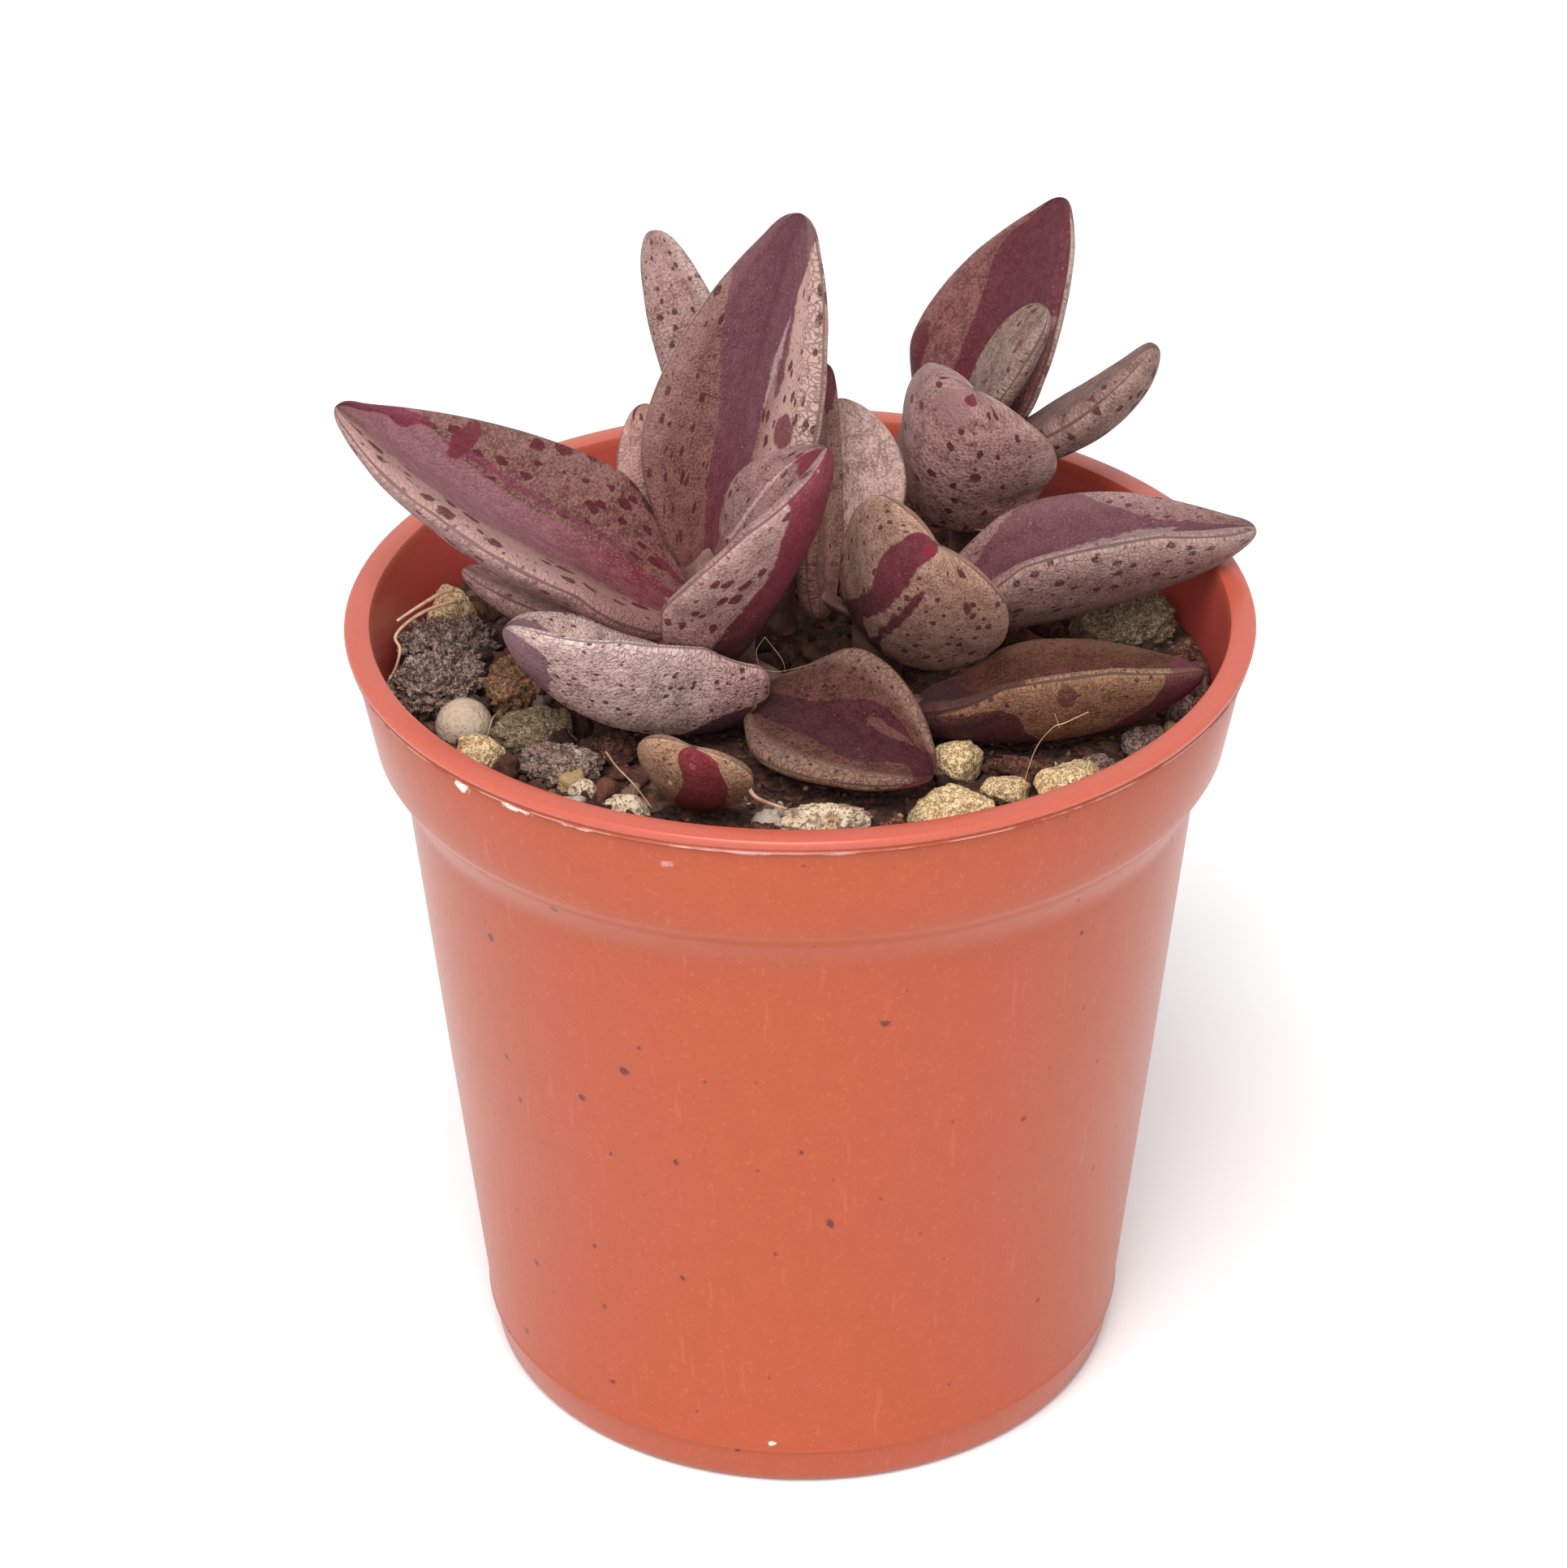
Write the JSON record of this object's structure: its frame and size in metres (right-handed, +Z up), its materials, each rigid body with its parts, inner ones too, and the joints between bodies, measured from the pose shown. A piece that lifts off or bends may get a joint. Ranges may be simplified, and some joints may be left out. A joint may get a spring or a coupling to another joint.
{
  "type": "potted lenophyllum",
  "caption": "Small succulent with thick boat-shaped leaves, pinkish grey with wine-red bands and spots, growing in gritty soil in a terracotta-coloured plastic nursery pot.",
  "frame": {"origin": "centre of the pot's flat base, on the surface it stands on", "axes": "+Z up through the pot; -Y towards the viewer of the picture; +X to the viewer's right"},
  "size_m": [0.0555, 0.055, 0.0724],
  "materials": {
    "pot": "satin injection-moulded plastic, terracotta orange, lightly scuffed",
    "soil": "dark peat potting mix, crumbly and matt",
    "leaf": "thick fleshy leaves and stems, pale pinkish grey with wine-red bands and spots, dusty bloom",
    "pumice": "pitted yellow pumice, matt",
    "grey_green_pumice": "pitted grey-green pumice, matt",
    "lava": "dark grey porous lava, matt",
    "brown_lava": "brown porous lava, matt",
    "gravel": "grey gravel, rough",
    "pale_gravel": "cream and white gravel, rough",
    "bark": "dark brown bark crumbs, fibrous",
    "clay": "fired clay granule, tan, matt"
  },
  "bodies": {
    "root": {"pot": "pot", "soil": "soil", "shoot_left": "leaf", "shoot_middle": "leaf", "shoot_back": "leaf", "shoot_right_low": "leaf", "shoot_front": "leaf", "shoot_left_back": "leaf", "pumice_left": "pumice", "pumice_pointed": "pumice", "pumice_sliver": "pumice", "pumice_big": "pumice", "pumice_middle": "pumice", "pumice_right_a": "pumice", "pumice_right_b": "pumice", "pumice_low": "pumice", "pumice_back": "pumice", "pumice_back_left": "pumice", "pumice_green": "grey_green_pumice", "pumice_pitted": "grey_green_pumice", "lava_left": "lava", "lava_upper": "lava", "lava_wall": "lava", "lava_back": "lava", "lava_back_right": "lava", "lava_brown": "brown_lava", "gravel_left": "gravel", "gravel_small": "gravel", "gravel_right_a": "gravel", "gravel_right_b": "gravel", "gravel_right_c": "gravel", "gravel_back": "gravel", "quartz_crumb": "pale_gravel", "pebble_cream": "pale_gravel", "gravel_cream": "pale_gravel", "bark_crumb_left": "bark", "bark_front": "bark", "bark_mid": "bark", "bark_strip": "bark", "bark_right": "bark", "bark_wall": "bark", "clay_prill": "clay"}
  },
  "joints": []
}
